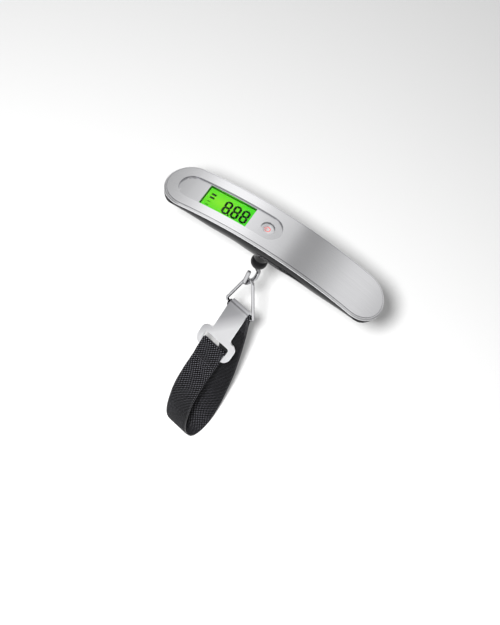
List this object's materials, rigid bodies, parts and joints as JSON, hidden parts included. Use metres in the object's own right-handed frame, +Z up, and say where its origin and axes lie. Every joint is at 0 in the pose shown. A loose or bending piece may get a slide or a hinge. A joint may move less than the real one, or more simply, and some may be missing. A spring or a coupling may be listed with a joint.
{
  "type": "digital luggage scale",
  "caption": "Hand-held luggage scale: arched metal-topped handle with display and button, swivelling hook, triangle ring, T-shaped clip plate and webbing strap.",
  "frame": {"origin": "crown of the handle's top cover, at the middle of its length and width", "axes": "+X along the handle towards its plain end, -Y towards the user who reads the display, +Z up out of the cover"},
  "size_m": [0.16, 0.0654, 0.2505],
  "materials": {
    "brushed_cover": "brushed satin stainless sheet",
    "silver_shell": "silver plated plastic, bright rim",
    "window": "clear",
    "lcd": "back-lit green",
    "light_guide": "frosted clear acrylic",
    "lamp": "white LED case",
    "zebra_rubber": "striped conductive elastomer",
    "board": "glass-epoxy board, green mask",
    "chip": "moulded black epoxy",
    "button": "silver painted, red icon",
    "black_housing": "high-gloss black ABS",
    "screw_steel": "zinc-plated",
    "beam_aluminium": "milled",
    "gauge_foil": "amber polyimide film",
    "nylon": "natural",
    "stem_steel": "polished",
    "ball": "gloss black acetal",
    "hook_chrome": "polished",
    "ring_chrome": "polished",
    "clip_steel": "satin",
    "webbing": "black woven nylon webbing",
    "thread": "black polyester thread",
    "cell_steel": "nickel-plated can",
    "contact_metal": "phosphor bronze",
    "red_lead": "PVC insulation",
    "black_lead": "PVC insulation",
    "gauge_lead": "PVC insulation"
  },
  "bodies": {
    "handle": {"cover_plate": "brushed_cover", "top_shell": "silver_shell", "window_lens": "window", "lcd_glass": "lcd", "backlight_guide": "light_guide", "backlight_lamp": "lamp", "display_connector": "zebra_rubber", "main_board": "board", "control_chip": "chip", "switch_board": "board", "switch_body": "chip", "lower_housing": "black_housing", "housing_screws": "screw_steel", "load_cell": "beam_aluminium", "strain_gauges": "gauge_foil", "load_cell_screws": "screw_steel", "stem_bush": "nylon", "stem_washer": "screw_steel", "coin_cell": "cell_steel", "battery_holder": "nylon", "contact_top": "contact_metal", "contact_side": "contact_metal", "battery_wire_red": "red_lead", "battery_wire_black": "black_lead", "gauge_wires": "gauge_lead"},
    "power_button": {"power_button": "button", "switch_plunger": "chip"},
    "battery_hatch": {"battery_hatch": "black_housing"},
    "hook": {"stem_nut": "screw_steel", "swivel_stem": "stem_steel", "swivel_ball": "ball", "hook": "hook_chrome"},
    "ring": {"triangle_ring": "ring_chrome"},
    "strap": {"strap_back": "webbing", "strap_back_stitching": "thread"},
    "clip": {"clip_plate": "clip_steel", "strap_front": "webbing", "strap_front_stitching": "thread"}
  },
  "joints": [
    {"name": "button_press", "type": "slide", "parent": "handle", "child": "power_button", "axis": [0.0286, 0, -0.9996], "range_m": [0, 0.0005], "stiffness_N_per_m": 1500},
    {"name": "hatch_pull", "type": "slide", "parent": "handle", "child": "battery_hatch", "axis": [0, 0, -1], "range_m": [0, 0.012]},
    {"name": "hook_swivel", "type": "hinge", "parent": "handle", "child": "hook", "pos_m": [-0.0035, 0, -0.0373], "axis": [0, 0, 1], "continuous": true},
    {"name": "ring_swing", "type": "hinge", "parent": "hook", "child": "ring", "pos_m": [-0.0035, 0, -0.0603], "axis": [-0.866, 0.5, 0], "range_deg": [-35, 35]},
    {"name": "strap_swing", "type": "hinge", "parent": "ring", "child": "strap", "pos_m": [-0.00059, -0.00067, -0.10013], "axis": [0.9714, -0.2243, 0.0785], "range_deg": [-60, 60]},
    {"name": "clip_swing", "type": "hinge", "parent": "strap", "child": "clip", "pos_m": [-0.00059, -0.00067, -0.10013], "axis": [-0.9714, 0.2243, -0.0785], "range_deg": [0, 8]}
  ]
}
